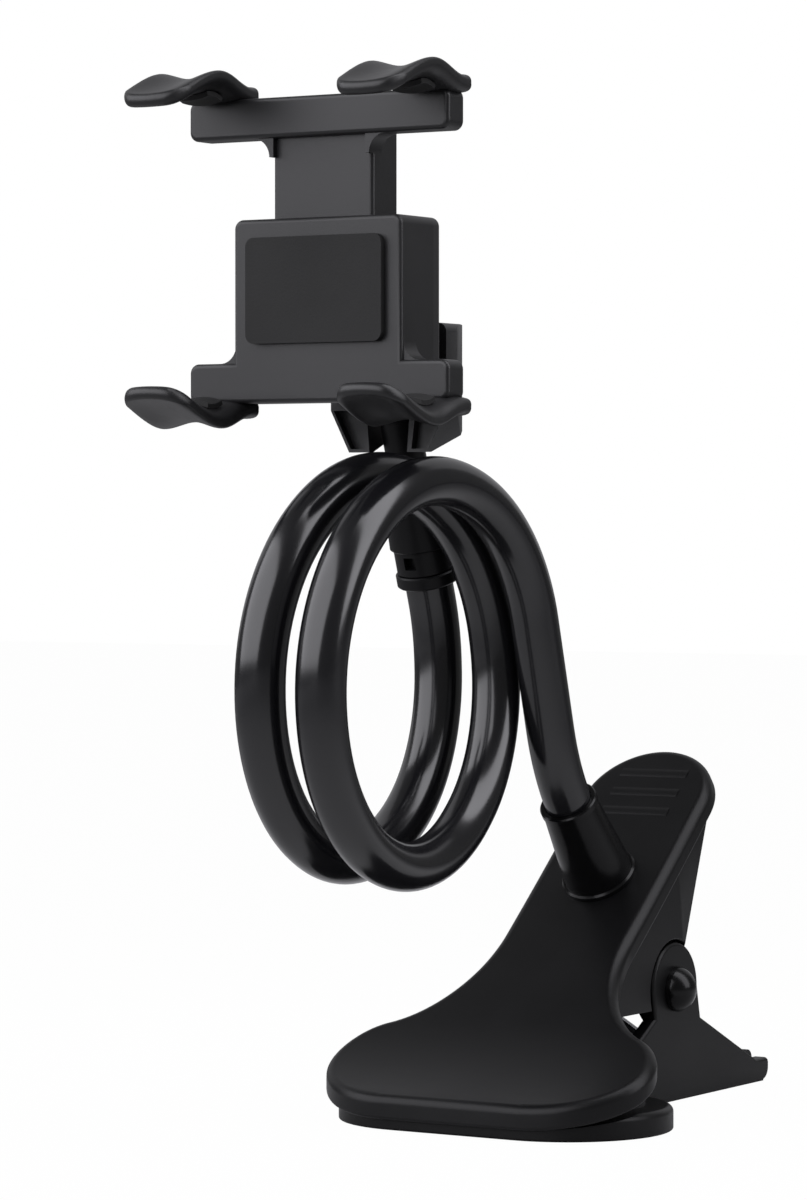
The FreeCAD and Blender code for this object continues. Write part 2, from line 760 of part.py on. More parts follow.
def arm_sheath():
    tube = pipe(arm_path(flange_at + tube_in), arm_d / 2)
    return tube.cut(pipe(arm_path(flange_at + tube_in + past), core_d / 2 + core_fit))


def arm_core():
    core = pipe(arm_path(flange_at + flange_h + spigot_len - core_short), core_d / 2)
    hole = Part.makeCylinder(screw_d / 2 + screw_fit, screw_in + tip_gap, V(0, 0, boot_floor))
    hole.Placement = boot_place
    return core.cut(hole)


def arm_ferrule():
    low = flange_at
    high = flange_at + flange_h
    top = high + spigot_len
    bore = core_d / 2 + core_fit
    seat = arm_d / 2 + core_fit
    flange = flange_d / 2
    spigot = spigot_d / 2
    step = low + tube_in + core_fit
    sill = high + swivel_gap + window_at
    profile = [(seat, low), (flange - neck_chamfer, low), (flange, low + neck_chamfer),
               (flange, high - neck_chamfer), (flange - neck_chamfer, high),
               (spigot, high), (spigot, sill), (spigot - snap_d, sill), (spigot - snap_d, sill + window_h),
               (spigot, sill + window_h), (spigot, top - spigot_chamfer),
               (spigot - spigot_chamfer, top), (0, top), (0, top - spigot_top), (bore, top - spigot_top),
               (bore, step), (seat, step)]
    ferrule = revolved(profile)
    ferrule.Placement = neck_place
    return ferrule


def ball_neck():
    """Collar with two snap windows, sleeve, stem and ball."""
    low = flange_at + flange_h + swivel_gap
    step = low + collar_len
    top = step + sleeve_len
    bore = spigot_d / 2 + spigot_fit
    bore_top = flange_at + flange_h + spigot_len + 2 * swivel_gap
    sleeve = sleeve_d / 2
    profile = [(bore, low), (collar_d / 2, low), (collar_d / 2, step), (sleeve - neck_chamfer, step),
               (sleeve, step + neck_chamfer), (sleeve - sleeve_taper, top), (stem_d / 2, top + cone_len),
               (stem_d / 2, ball_at), (0, ball_at), (0, bore_top), (bore, bore_top)]
    neck = revolved(profile)
    neck = neck.fuse(Part.makeSphere(ball_r, V(0, 0, ball_at))).removeSplitter()
    sill = low + window_at
    window = box(-window_w / 2, window_w / 2, -sleeve_d, sleeve_d, sill, sill + window_h)
    neck = neck.cut(window)
    neck.Placement = neck_place
    return neck


# Cradle planes and heights
grip_y = ball.y - grip_ahead
back_plane = grip_y + device_back
tray_front = back_plane + back_pad_t
tray_rear = tray_front + tray_d
tray_low = ball.z + tray_bottom_z
tray_top = ball.z + tray_top_z
bar_rear = tray_front + bar_d
low_grip = tray_low - claw_bow + claw_t
mid_z = low_grip + opening / 2
screw_x = (fork_half + tray_half) / 2
screw_low = tray_low + screw_inset
screw_high = tray_top - screw_inset


def claw_curve():
    """Middle line of a lower claw in the (y, z) plane."""
    hump = V(0, grip_y, low_grip - claw_t / 2)
    root = V(0, bar_rear, tray_low - claw_root * claw_bow)
    heel = V(0, tray_front, tray_low - claw_heel * claw_bow)
    knee = V(0, grip_y - claw_knee * claw_reach, hump.z + claw_knee_rise * claw_rise)
    tip = V(0, grip_y - claw_reach, hump.z + claw_rise)
    curve = Part.BSplineCurve()
    curve.interpolate([root, heel, hump, knee, tip])
    return curve


def claw_section(x, thick, lift, cut_back):
    """Closed outline of the strap, with a half-round lip, at one place across its width."""
    curve = claw_curve()
    count = 9
    first = curve.FirstParameter
    last = curve.LastParameter - (curve.LastParameter - curve.FirstParameter) * cut_back
    outer = []
    inner = []
    for i in range(count):
        share = i / (count - 1)
        at = first + (last - first) * share
        point = curve.value(at)
        along = curve.tangent(at)[0]
        normal = V(0, -along.z, along.y)
        half = thick * (claw_t + (claw_tip_t - claw_t) * share) / 2
        rise = V(x, 0, lift * math.sin(math.pi * share))
        outer.append(point + normal * half + rise)
        inner.append(point - normal * half + rise)
    nose = point + along * half + rise
    inner.reverse()
    under = Part.BSplineCurve()
    under.interpolate(outer)
    over = Part.BSplineCurve()
    over.interpolate(inner)
    return Part.Wire([under.toShape(), arc(outer[-1], nose, inner[0]),
                      over.toShape(), line(inner[-1], outer[0])])


def claw(x):
    """Saddle-shaped strap with rounded sides."""
    half = claw_w / 2
    border = [half - claw_edge * (1.0 - i / claw_steps) ** 2 for i in range(claw_steps + 1)]
    right = [claw_mid * half] + border
    sections = []
    for offset in [-r for r in reversed(right)] + right:
        s = offset / half
        u = max(0.0, (abs(offset) - half + claw_edge) / claw_edge)
        thick = 1.0 - claw_thin * (1.0 - math.sqrt(max(0.0, 1.0 - u * u)))
        sections.append(claw_section(x + offset, thick, claw_dish * (1.0 - s * s), claw_corner * s ** 4))
    return Part.makeLoft(sections, True, False)


def front_rounded(solid):
    """Soften the edges round the face at the front of the cradle."""
    edges = [e for e in solid.Edges if e.BoundBox.YMax < tray_front + tiny]
    return solid.makeFillet(soft_r, edges)


def shoulder(x):
    """Hollow corner above the crossbar, to the right of a wall at x."""
    low = tray_low + bar_h
    corner = box(x - soft_r, x + shoulder_r, tray_front + soft_r, bar_rear, low - soft_r, low + shoulder_r)
    middle = V(x + shoulder_r, tray_front, low + shoulder_r)
    return corner.cut(Part.makeCylinder(shoulder_r, bar_d, middle, V(0, 1, 0)))


def claw_pair(carrier_half):
    """Crossbar with the two lower claws, and shoulders beside what carries it."""
    reach = claw_pitch / 2 + claw_w / 2 - edge_r
    bar = box(head_x - reach, head_x + reach, tray_front, bar_rear, tray_low - bar_drop, tray_low + bar_h)
    ends = [e for e in bar.Edges if abs(e.Vertexes[0].Y - e.Vertexes[-1].Y) > bar_d / 2]
    bar = front_rounded(bar.makeFillet(edge_r, ends))
    right = shoulder(head_x + carrier_half)
    claws = [claw(head_x - claw_pitch / 2), claw(head_x + claw_pitch / 2)]
    return bar.fuse([right, mirrored(right, head_x)] + claws)


def upside_down(shape):
    """Turn the lower claws into the upper ones."""
    return shape.mirror(V(0, 0, mid_z), V(0, 0, 1))


def screw_holes(depth):
    holes = []
    for x in (head_x - screw_x, head_x + screw_x):
        for z in (screw_low, screw_high):
            start = V(x, tray_rear + back_t, z)
            holes.append(Part.makeCylinder(small_screw_d / 2 + small_fit, depth, start, V(0, -1, 0)))
    return holes


def cradle_body():
    """Tray with guides for the fork, lower crossbar and claws."""
    tray = box(head_x - tray_half, head_x + tray_half, tray_front, tray_rear, tray_low, tray_top)
    upright = [e for e in tray.Edges if abs(e.Vertexes[0].Y - e.Vertexes[-1].Y) > tray_d / 2]
    tray = front_rounded(tray.makeFillet(edge_r, upright)).fuse(claw_pair(tray_half))
    well = fork_half + slide_gap
    tray = tray.cut(box(head_x - well, head_x + well, tray_front + tray_wall, tray_rear + past,
                        tray_low + tray_wall, tray_top + past))
    tray = tray.cut(screw_holes(small_len + back_t))
    peg_foot = V(head_x, tray_front + tray_wall, tray_low + peg_low_z)
    peg = Part.makeCylinder(peg_d / 2, tray_d - tray_wall, peg_foot, V(0, 1, 0))
    return tray.fuse(peg).removeSplitter()


def upper_slider():
    """Fork that slides in the tray, notched for the lower peg, with the upper crossbar and claws."""
    front = tray_front + tray_wall + slide_gap
    rear = tray_rear - slide_gap
    head = upside_down(claw_pair(fork_half))
    bar_low = 2 * mid_z - tray_low - bar_h
    foot = ball.z + fork_z
    fork = box(head_x - fork_half, head_x + fork_half, front, rear, foot, bar_low + bar_h - fork_sink)
    fork = fork.makeFillet(soft_r, [e for e in fork.Edges if e.BoundBox.ZLength > tray_d])
    pocket_top = tray_low + peg_high_z + peg_d + fork_wall
    floor = front + fork_wall
    pocket = box(head_x - pocket_half, head_x + pocket_half, floor, rear + past, foot - past, pocket_top)
    notch = peg_d / 2 + slide_gap
    notch_top = tray_low + peg_low_z + notch + slide_travel
    fork = fork.cut([pocket, box(head_x - notch, head_x + notch, front - past, rear, foot - past, notch_top)])
    peg_foot = V(head_x, floor, tray_low + peg_high_z)
    peg = Part.makeCylinder(peg_d / 2, rear - floor, peg_foot, V(0, 1, 0))
    return head.fuse([fork, peg]).removeSplitter()


def grip_spring():
    """Extension spring whose ends rest on the two pegs."""
    y = (tray_front + tray_wall + fork_wall + tray_rear) / 2
    low = tray_low + peg_low_z + peg_d / 2 + grip_wire / 2 + leg_gap
    high = tray_low + peg_high_z - peg_d / 2 - grip_wire / 2 - leg_gap
    corner = [V(-grip_r, grip_r, 0), V(-grip_r, -grip_r, 0), V(grip_r, -grip_r, 0), V(grip_r, grip_r, 0)]
    steps = 4 * grip_turns
    rise = (high - low) / steps
    middle = V(head_x, y, low)
    points = [middle + V(0, grip_r, 0)]
    for i in range(steps):
        points.append(middle + corner[i % 4] + V(0, 0, rise * (i + 0.5)))
    points.append(V(head_x, y + grip_r, high))
    return pipe(smooth_path(points, [coil_ease * grip_r] * steps), grip_wire / 2)


def socket_ball():
    return Part.makeSphere(ball_r + socket_fit, ball)


def cradle_back():
    """Rear plate with the front half of the ball socket."""
    plate = box(head_x - tray_half, head_x + tray_half, tray_rear, tray_rear + back_t, tray_low, tray_top)
    upright = [e for e in plate.Edges if abs(e.Vertexes[0].Y - e.Vertexes[-1].Y) > back_t / 2]
    plate = plate.makeFillet(edge_r, upright)
    plate = plate.makeFillet(soft_r, [e for e in plate.Edges if e.BoundBox.YMin > tray_rear + back_t - tiny])
    split = ball.y - split_y
    block = box(head_x - block_half, head_x + block_half, tray_rear, split - split_gap,
                ball.z + block_low_z, ball.z + block_top_z)
    long_edges = [e for e in block.Edges if abs(e.Vertexes[0].Y - e.Vertexes[-1].Y) > back_t]
    block = block.makeFillet(edge_r, long_edges)
    back = plate.fuse(block).cut(socket_ball())
    back = back.cut(screw_holes(back_t))
    for x in (head_x - cover_screw_x, head_x + cover_screw_x):
        back = back.cut(cover_screw_hole(x))
    return back.removeSplitter()


cover_screw_x = cover_rear_half - small_head_d / 2 - head_margin
cover_screw_z = ball.z + block_top_z - small_head_d / 2 - head_margin


def cover_screw_hole(x):
    start = V(x, ball.y - split_y + cover_d, cover_screw_z)
    return Part.makeCylinder(small_screw_d / 2 + small_fit, cover_d + small_len, start, V(0, -1, 0))


def socket_cover():
    """Tapered rear half of the socket, open below for the stem."""
    front = ball.y - split_y
    rear = front + cover_d
    low = ball.z + cover_low_z
    wide = ball.z + cover_wide_z
    top = ball.z + block_top_z
    outline = [V(head_x - cover_low_half, front, low), V(head_x + cover_low_half, front, low),
               V(head_x + cover_half, front, wide), V(head_x + cover_half, front, top),
               V(head_x - cover_half, front, top), V(head_x - cover_half, front, wide)]
    cover = polygon(outline).extrude(V(0, cover_d, 0))
    top_edges = [e for e in cover.Edges if e.BoundBox.ZMin > wide + tiny and e.BoundBox.YLength > cover_d / 2]
    cover = cover.makeFillet(edge_r, top_edges)
    heel = ball.z + cover_heel_z
    toe = front + cover_toe
    under = slab_x([(toe, low), (rear, heel), (rear + past, heel), (rear + past, low - past),
                    (toe, low - past)], head_x - cover_half, head_x + cover_half)
    side_start = front + cover_d / 3
    taper = [V(cover_half, side_start, low), V(cover_rear_half, rear, low),
             V(cover_rear_half, rear + past, low), V(cover_half + past, rear + past, low),
             V(cover_half + past, side_start, low)]
    side = polygon(taper).extrude(V(0, 0, top - low))
    side.translate(V(head_x, 0, 0))
    cover = cover.cut([under, side, mirrored(side, head_x)])
    cover = cover.makeFillet(soft_r, [e for e in cover.Edges if e.BoundBox.YMin > rear - tiny])
    cover = cover.cut(socket_ball())
    cover = cover.cut(box(head_x - slot_half, head_x + slot_half, front - past, rear + past,
                          low - past, ball.z + slot_top_z))
    inner = slot_half + panel_rim
    for side in (-1, 1):
        panel = [(side * inner, low + panel_rim), (side * (cover_low_half - panel_rim), low + panel_rim),
                 (side * (cover_half - panel_slope), wide), (side * inner, wide)]
        recess = polygon([V(head_x + x, front - past, z) for x, z in panel]).extrude(V(0, panel_d + past, 0))
        cover = cover.cut(recess)
    for x in (head_x - cover_screw_x, head_x + cover_screw_x):
        cover = cover.cut(cover_screw_hole(x))
    return cover.removeSplitter()


def small_screw(origin, shank):
    """Pan-head screw that points to -Y."""
    r = small_screw_d / 2
    head = small_head_d / 2
    top = -small_head_h
    screw = revolved([(0, top), (head - small_chamfer, top), (head, top + small_chamfer), (head, 0),
                      (r, 0), (r, shank), (0, shank)])
    wide = cross_len / 2
    thin = cross_w / 2
    screw = screw.cut([box(-thin, thin, -wide, wide, top - past, top + cross_d),
                       box(-wide, wide, -thin, thin, top - past, top + cross_d)])
    screw.Placement = FreeCAD.Placement(origin, FreeCAD.Rotation(AXIS_X, 90))
    return screw


def back_screws():
    rear = tray_rear + back_t
    return [small_screw(V(head_x + side * screw_x, rear, z), small_len + back_t - tip_gap)
            for side in (-1, 1) for z in (screw_low, screw_high)]


def cover_screws():
    rear = ball.y - split_y + cover_d
    return [small_screw(V(head_x + side * cover_screw_x, rear, cover_screw_z), cover_d + small_len - tip_gap)
            for side in (-1, 1)]


def back_pad():
    inset = back_pad_inset
    pad = box(head_x - tray_half + inset, head_x + tray_half - inset, back_plane, tray_front,
              tray_low + bar_h + inset, tray_top - inset)
    corners = [e for e in pad.Edges if abs(e.Vertexes[0].Y - e.Vertexes[-1].Y) > back_pad_t / 2]
    return pad.makeFillet(edge_r, corners)


def claw_pad(x):
    """Rubber liner laid in the hollow of a lower claw."""
    curve = claw_curve()
    middle = curve.parameter(V(0, grip_y, low_grip - claw_t / 2))
    span = curve.LastParameter - curve.FirstParameter
    reach = span * claw_pad_len / curve.length() / 2
    hump = claw_dish * math.sin(math.pi * (middle - curve.FirstParameter) / span)
    sections = []
    for share in (-1.0, -claw_mid, claw_mid, 1.0):
        offset = share * claw_pad_w / 2
        lift = hump * (1.0 - (2 * offset / claw_w) ** 2) + pad_gap
        outer = []
        inner = []
        for i in range(5):
            at = middle + reach * (i / 2 - 1)
            along = curve.tangent(at)[0]
            normal = V(0, -along.z, along.y)
            base = curve.value(at) + V(x + offset, 0, lift)
            outer.append(base - normal * (claw_t / 2))
            inner.append(base - normal * (claw_t / 2 + claw_pad_t))
        inner.reverse()
        low = Part.BSplineCurve()
        low.interpolate(outer)
        high = Part.BSplineCurve()
        high.interpolate(inner)
        sections.append(Part.Wire([low.toShape(), line(outer[-1], inner[0]),
                                   high.toShape(), line(inner[-1], outer[0])]))
    return Part.makeLoft(sections, True, False)


os.makedirs("parts", exist_ok=True)
save("lower_jaw", lower_jaw())
save("upper_jaw", upper_jaw())
save("lower_jaw_pad", lower_jaw_pad())
save("upper_jaw_pad", upper_jaw_pad())
save("pivot_pin", pivot_pin())
right_cap = pivot_cap()
save("pivot_caps", right_cap, mirrored(right_cap))
save("torsion_spring", torsion_spring())
save("arm_boot", arm_boot())
save("arm_screw", arm_screw())
save("arm_washer", arm_washer())
save("arm_sheath", arm_sheath())
save("arm_core", arm_core())
save("arm_ferrule", arm_ferrule())
save("ball_neck", ball_neck())
save("cradle_body", cradle_body())
save("cradle_back", cradle_back())
save("socket_cover", socket_cover())
save("back_screws", *back_screws())
save("cover_screws", *cover_screws())
save("upper_slider", upper_slider())
save("grip_spring", grip_spring())
save("back_pad", back_pad())
left_x = head_x - claw_pitch / 2
right_x = head_x + claw_pitch / 2
save("lower_left_claw_pad", claw_pad(left_x))
save("lower_right_claw_pad", claw_pad(right_x))
save("upper_left_claw_pad", upside_down(claw_pad(left_x)))
save("upper_right_claw_pad", upside_down(claw_pad(right_x)))
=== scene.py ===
import json
import math

import bmesh
import bpy
import numpy as np
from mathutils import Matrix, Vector


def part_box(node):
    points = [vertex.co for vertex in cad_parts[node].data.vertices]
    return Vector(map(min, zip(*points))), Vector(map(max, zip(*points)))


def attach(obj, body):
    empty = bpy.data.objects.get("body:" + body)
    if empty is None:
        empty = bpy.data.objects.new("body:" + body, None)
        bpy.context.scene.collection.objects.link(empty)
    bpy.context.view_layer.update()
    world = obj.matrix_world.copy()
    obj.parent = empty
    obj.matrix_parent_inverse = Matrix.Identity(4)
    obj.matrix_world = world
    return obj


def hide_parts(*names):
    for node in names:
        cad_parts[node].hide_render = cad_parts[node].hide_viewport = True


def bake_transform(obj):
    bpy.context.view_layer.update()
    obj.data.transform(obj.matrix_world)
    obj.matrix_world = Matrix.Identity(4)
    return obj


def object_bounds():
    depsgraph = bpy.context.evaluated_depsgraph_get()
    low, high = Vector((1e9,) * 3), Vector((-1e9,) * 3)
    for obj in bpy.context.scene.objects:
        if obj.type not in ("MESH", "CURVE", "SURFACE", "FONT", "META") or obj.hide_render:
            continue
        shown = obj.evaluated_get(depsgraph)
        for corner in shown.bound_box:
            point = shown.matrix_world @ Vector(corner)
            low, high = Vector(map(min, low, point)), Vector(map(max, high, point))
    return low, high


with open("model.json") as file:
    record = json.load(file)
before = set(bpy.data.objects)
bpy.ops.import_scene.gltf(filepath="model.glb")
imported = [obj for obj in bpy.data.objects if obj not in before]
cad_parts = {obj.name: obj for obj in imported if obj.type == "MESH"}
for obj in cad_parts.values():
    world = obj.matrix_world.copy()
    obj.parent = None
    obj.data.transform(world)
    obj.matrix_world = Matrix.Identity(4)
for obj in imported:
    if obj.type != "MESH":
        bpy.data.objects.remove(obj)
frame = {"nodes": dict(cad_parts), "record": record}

scene = bpy.context.scene
nodes = frame["nodes"]
mm = 0.001  # pieces are given in millimetres, the studio in metres
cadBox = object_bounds()
bodyMembers = frame["record"]["behaviour"]["bodies"]
bodyOfNode = {node: body for body, members in bodyMembers.items() for node in members}


# Node helpers

def addNode(tree, kind, **settings):
    node = tree.nodes.new(kind)
    for key, value in settings.items():
        setattr(node, key, value)
    return node


def wire(tree, source, output, target, inlet):
    tree.links.new(source.outputs[output], target.inputs[inlet])


def openGroup(name, kind, inlets, outlets):
    tree = bpy.data.node_groups.new(name, kind)
    for label, socketKind, value in inlets:
        socket = tree.interface.new_socket(label, in_out="INPUT", socket_type=socketKind)
        if value is not None:
            socket.default_value = value
    for label, socketKind in outlets:
        tree.interface.new_socket(label, in_out="OUTPUT", socket_type=socketKind)
    return tree, addNode(tree, "NodeGroupInput"), addNode(tree, "NodeGroupOutput")


# Shared surface effects

grainEffect = {"waviness": 0.2, "detail": 3.0, "swell": 60.0}
toneEffect = {"amount": 0.4, "scale": 45.0, "detail": 5.0, "patches": (0.42, 0.78)}
colourMix = {"factor": 0, "first": 6, "second": 7, "result": 2}  # sockets of a mix of colours


def mouldGrain():
    inlets = [("Scale", "NodeSocketFloat", None), ("Waviness", "NodeSocketFloat", grainEffect["waviness"])]
    tree, given, result = openGroup("mouldGrain", "ShaderNodeTree", inlets, [("Height", "NodeSocketFloat")])
    place = addNode(tree, "ShaderNodeTexCoord")
    grain = addNode(tree, "ShaderNodeTexNoise")
    grain.inputs["Detail"].default_value = grainEffect["detail"]
    swell = addNode(tree, "ShaderNodeTexNoise")
    swell.inputs["Scale"].default_value = grainEffect["swell"]
    blend = addNode(tree, "ShaderNodeMix")
    wire(tree, place, "Object", grain, "Vector")
    wire(tree, place, "Object", swell, "Vector")
    wire(tree, given, "Scale", grain, "Scale")
    wire(tree, given, "Waviness", blend, "Factor")
    wire(tree, grain, "Fac", blend, "A")
    wire(tree, swell, "Fac", blend, "B")
    wire(tree, blend, "Result", result, "Height")
    return tree


def handledTone():
    inlets = [("Colour", "NodeSocketColor", None), ("Paler", "NodeSocketColor", None),
              ("Amount", "NodeSocketFloat", toneEffect["amount"]),
              ("Gloss Low", "NodeSocketFloat", None), ("Gloss High", "NodeSocketFloat", None)]
    outlets = [("Colour", "NodeSocketColor"), ("Roughness", "NodeSocketFloat")]
    tree, given, result = openGroup("handledTone", "ShaderNodeTree", inlets, outlets)
    place = addNode(tree, "ShaderNodeTexCoord")
    smear = addNode(tree, "ShaderNodeTexNoise")
    smear.inputs["Scale"].default_value = toneEffect["scale"]
    smear.inputs["Detail"].default_value = toneEffect["detail"]
    spread = addNode(tree, "ShaderNodeMapRange")
    spread.inputs["From Min"].default_value = toneEffect["patches"][0]
    spread.inputs["From Max"].default_value = toneEffect["patches"][1]
    share = addNode(tree, "ShaderNodeMath", operation="MULTIPLY")
    tint = addNode(tree, "ShaderNodeMix", data_type="RGBA")
    sheen = addNode(tree, "ShaderNodeMix")
    wire(tree, place, "Object", smear, "Vector")
    wire(tree, smear, "Fac", spread, "Value")
    wire(tree, spread, "Result", share, 0)
    wire(tree, given, "Amount", share, 1)
    wire(tree, share, 0, tint, colourMix["factor"])
    wire(tree, given, "Colour", tint, colourMix["first"])
    wire(tree, given, "Paler", tint, colourMix["second"])
    wire(tree, tint, colourMix["result"], result, "Colour")
    wire(tree, spread, "Result", sheen, "Factor")
    wire(tree, given, "Gloss Low", sheen, "A")
    wire(tree, given, "Gloss High", sheen, "B")
    wire(tree, sheen, "Result", result, "Roughness")
    return tree


grainGroup = mouldGrain()
toneGroup = handledTone()
plainLook = {"metal": 0.0, "specular": 0.5, "depth": 0.2}  # where a look doesn't say otherwise


def finishMaterial(name, look):
    look = {**plainLook, **look}
    material = bpy.data.materials.new(name)
    material.use_nodes = True
    tree = material.node_tree
    shader = tree.nodes["Principled BSDF"]
    shader.inputs["Metallic"].default_value = look["metal"]
    shader.inputs["Specular IOR Level"].default_value = look["specular"]
    tone = addNode(tree, "ShaderNodeGroup", node_tree=toneGroup)
    tone.inputs["Colour"].default_value = (*look["colour"], 1.0)
    tone.inputs["Paler"].default_value = (*look["paler"], 1.0)
    tone.inputs["Gloss Low"].default_value = look["rough"][0]
    tone.inputs["Gloss High"].default_value = look["rough"][1]
    grain = addNode(tree, "ShaderNodeGroup", node_tree=grainGroup)
    grain.inputs["Scale"].default_value = look["grain"]
    bump = addNode(tree, "ShaderNodeBump")
    bump.inputs["Strength"].default_value = look["relief"]
    bump.inputs["Distance"].default_value = look["depth"] * mm
    wire(tree, tone, "Colour", shader, "Base Color")
    wire(tree, tone, "Roughness", shader, "Roughness")
    wire(tree, grain, "Height", bump, "Height")
    wire(tree, bump, "Normal", shader, "Normal")
    return material


looks = {
    "jaw": {"colour": (0.0024, 0.0024, 0.0027), "paler": (0.0044, 0.0044, 0.0048), "rough": (0.36, 0.42),
            "grain": 2600.0, "relief": 0.08, "specular": 0.2},
    # a darker, less shiny copy of the jaw finish: painted shade for the lower jaw's front and top
    "base": {"colour": (0.0018, 0.0018, 0.0020), "paler": (0.0034, 0.0034, 0.0037), "rough": (0.38, 0.44),
             "grain": 2600.0, "relief": 0.08, "specular": 0.18},
    "gloss": {"colour": (0.003, 0.003, 0.0032), "paler": (0.005, 0.005, 0.0052), "rough": (0.20, 0.26),
              "grain": 500.0, "relief": 0.02, "specular": 0.2},
    "sheath": {"colour": (0.0050, 0.0050, 0.0060), "paler": (0.0075, 0.0075, 0.0085), "rough": (0.18, 0.21),
               "grain": 700.0, "relief": 0.008, "specular": 0.58},
    "neck": {"colour": (0.0038, 0.0038, 0.0042), "paler": (0.007, 0.007, 0.0075), "rough": (0.34, 0.40),
             "grain": 2200.0, "relief": 0.06, "specular": 0.15},
    "soft": {"colour": (0.0070, 0.0070, 0.0076), "paler": (0.0105, 0.0105, 0.0112), "rough": (0.38, 0.45),
             "grain": 3000.0, "relief": 0.08, "specular": 0.42},
    "head": {"colour": (0.009, 0.009, 0.0097), "paler": (0.0135, 0.0135, 0.0142), "rough": (0.40, 0.47),
             "grain": 2400.0, "relief": 0.10},
    "pad": {"colour": (0.010, 0.010, 0.010), "paler": (0.016, 0.016, 0.016), "rough": (0.72, 0.82),
            "grain": 1800.0, "relief": 0.2, "specular": 0.3},
    "core": {"colour": (0.58, 0.58, 0.60), "paler": (0.66, 0.66, 0.68), "rough": (0.28, 0.36),
             "grain": 900.0, "relief": 0.04, "metal": 1.0},
    "steel": {"colour": (0.42, 0.42, 0.44), "paler": (0.52, 0.52, 0.54), "rough": (0.24, 0.34),
              "grain": 1200.0, "relief": 0.05, "metal": 1.0},
}
finishes = {slot: finishMaterial(slot + "Finish", look) for slot, look in looks.items()}
print("finishes made:", len(finishes))


# Geometry helpers

meshCare = {"weld": 0.002, "sliver": 0.001, "sharpAngle": 28.0}


def middleHeight(cadNode):
    low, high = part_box(cadNode)
    return (low.z + high.z) / 2 / mm


def newPiece(name, mesh):
    piece = bpy.data.objects.new(name, mesh)
    scene.collection.objects.link(piece)
    return piece


def seat(piece, slot, *cadNodes):
    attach(piece, bodyOfNode[cadNodes[0]])
    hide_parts(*cadNodes)


def cleanMesh(name, cadNode, sharpAngle, shape):
    source = nodes[cadNode].data
    mesh = bpy.data.meshes.new(name)
    mesh.from_pydata([v.co for v in source.vertices], [], [list(p.vertices) for p in source.polygons])
    work = bmesh.new()
    work.from_mesh(mesh)
    bmesh.ops.remove_doubles(work, verts=work.verts, dist=meshCare["weld"] * mm)
    if shape:
        shape(work.verts)
    bmesh.ops.dissolve_degenerate(work, edges=work.edges, dist=meshCare["sliver"] * mm)
    limit = math.radians(sharpAngle)
    for face in work.faces:
        face.smooth = True
    for edge in work.edges:
        edge.smooth = edge.is_manifold and edge.calc_face_angle() < limit
    work.to_mesh(mesh)
    work.free()
    return mesh


def mouldedPiece(name, cadNode, slot, sharpAngle=meshCare["sharpAngle"], shape=None, look=None):
    mesh = cleanMesh(name, cadNode, sharpAngle, shape)
    mesh.materials.append(finishes[look or slot])
    piece = newPiece(name, mesh)
    even = piece.modifiers.new("evenShading", "WEIGHTED_NORMAL")
    even.keep_sharp = True
    seat(piece, slot, cadNode)
    return piece


def grow(name, mesh, tree, values):
    piece = newPiece(name, mesh)
    modifier = piece.modifiers.new(tree.name, "NODES")
    modifier.node_group = tree
    for item in tree.interface.items_tree:
        if item.in_out == "INPUT" and item.name in values:
            modifier[item.identifier] = values[item.name]
    view = bpy.context.evaluated_depsgraph_get()
    grown = bpy.data.meshes.new_from_object(piece.evaluated_get(view))
    piece.modifiers.clear()
    piece.data = grown
    grown.name = name
    return piece


def roundTubeTree():
    inlets = [("Geometry", "NodeSocketGeometry", None), ("Radius", "NodeSocketFloat", None),
              ("Sides", "NodeSocketInt", None), ("Material", "NodeSocketMaterial", None)]
    outlets = [("Geometry", "NodeSocketGeometry")]
    tree, given, result = openGroup("roundTube", "GeometryNodeTree", inlets, outlets)
    route = addNode(tree, "GeometryNodeMeshToCurve")
    ring = addNode(tree, "GeometryNodeCurvePrimitiveCircle")
    sweep = addNode(tree, "GeometryNodeCurveToMesh")
    sweep.inputs["Fill Caps"].default_value = True
    soften = addNode(tree, "GeometryNodeSetShadeSmooth")
    realize = addNode(tree, "GeometryNodeRealizeInstances")
    paint = addNode(tree, "GeometryNodeSetMaterial")
    wire(tree, given, "Geometry", route, "Mesh")
    wire(tree, route, "Curve", sweep, "Curve")
    wire(tree, given, "Sides", ring, "Resolution")
    wire(tree, given, "Radius", ring, "Radius")
    wire(tree, ring, "Curve", sweep, "Profile Curve")
    wire(tree, sweep, "Mesh", soften, "Geometry")
    wire(tree, soften, "Geometry", realize, "Geometry")
    wire(tree, realize, "Geometry", paint, "Geometry")
    wire(tree, given, "Material", paint, "Material")
    wire(tree, paint, "Geometry", result, "Geometry")
    return tree


tubeTree = roundTubeTree()


def roundedRoute(corners, radii, stepAngle):
    route = [corners[0]]
    for before, corner, after, radius in zip(corners, corners[1:], corners[2:], radii):
        back = (before - corner).normalized()
        ahead = (after - corner).normalized()
        halfTurn = (math.pi - back.angle(ahead)) / 2
        inward = (back + ahead).normalized()
        along = (ahead - back).normalized()
        middle = corner + inward * (radius / math.cos(halfTurn))
        steps = max(2, math.ceil(2 * halfTurn / math.radians(stepAngle)))
        for i in range(steps + 1):
            turn = halfTurn * (2 * i / steps - 1)
            route.append(middle + radius * (along * math.sin(turn) - inward * math.cos(turn)))
    route.append(corners[-1])
    return route


def tubePiece(name, route, radius, sides, slot):
    line = bpy.data.meshes.new(name + "Route")
    line.from_pydata([p * mm for p in route], [(i, i + 1) for i in range(len(route) - 1)], [])
    values = {"Radius": radius * mm, "Sides": sides, "Material": finishes[slot]}
    return grow(name, line, tubeTree, values)


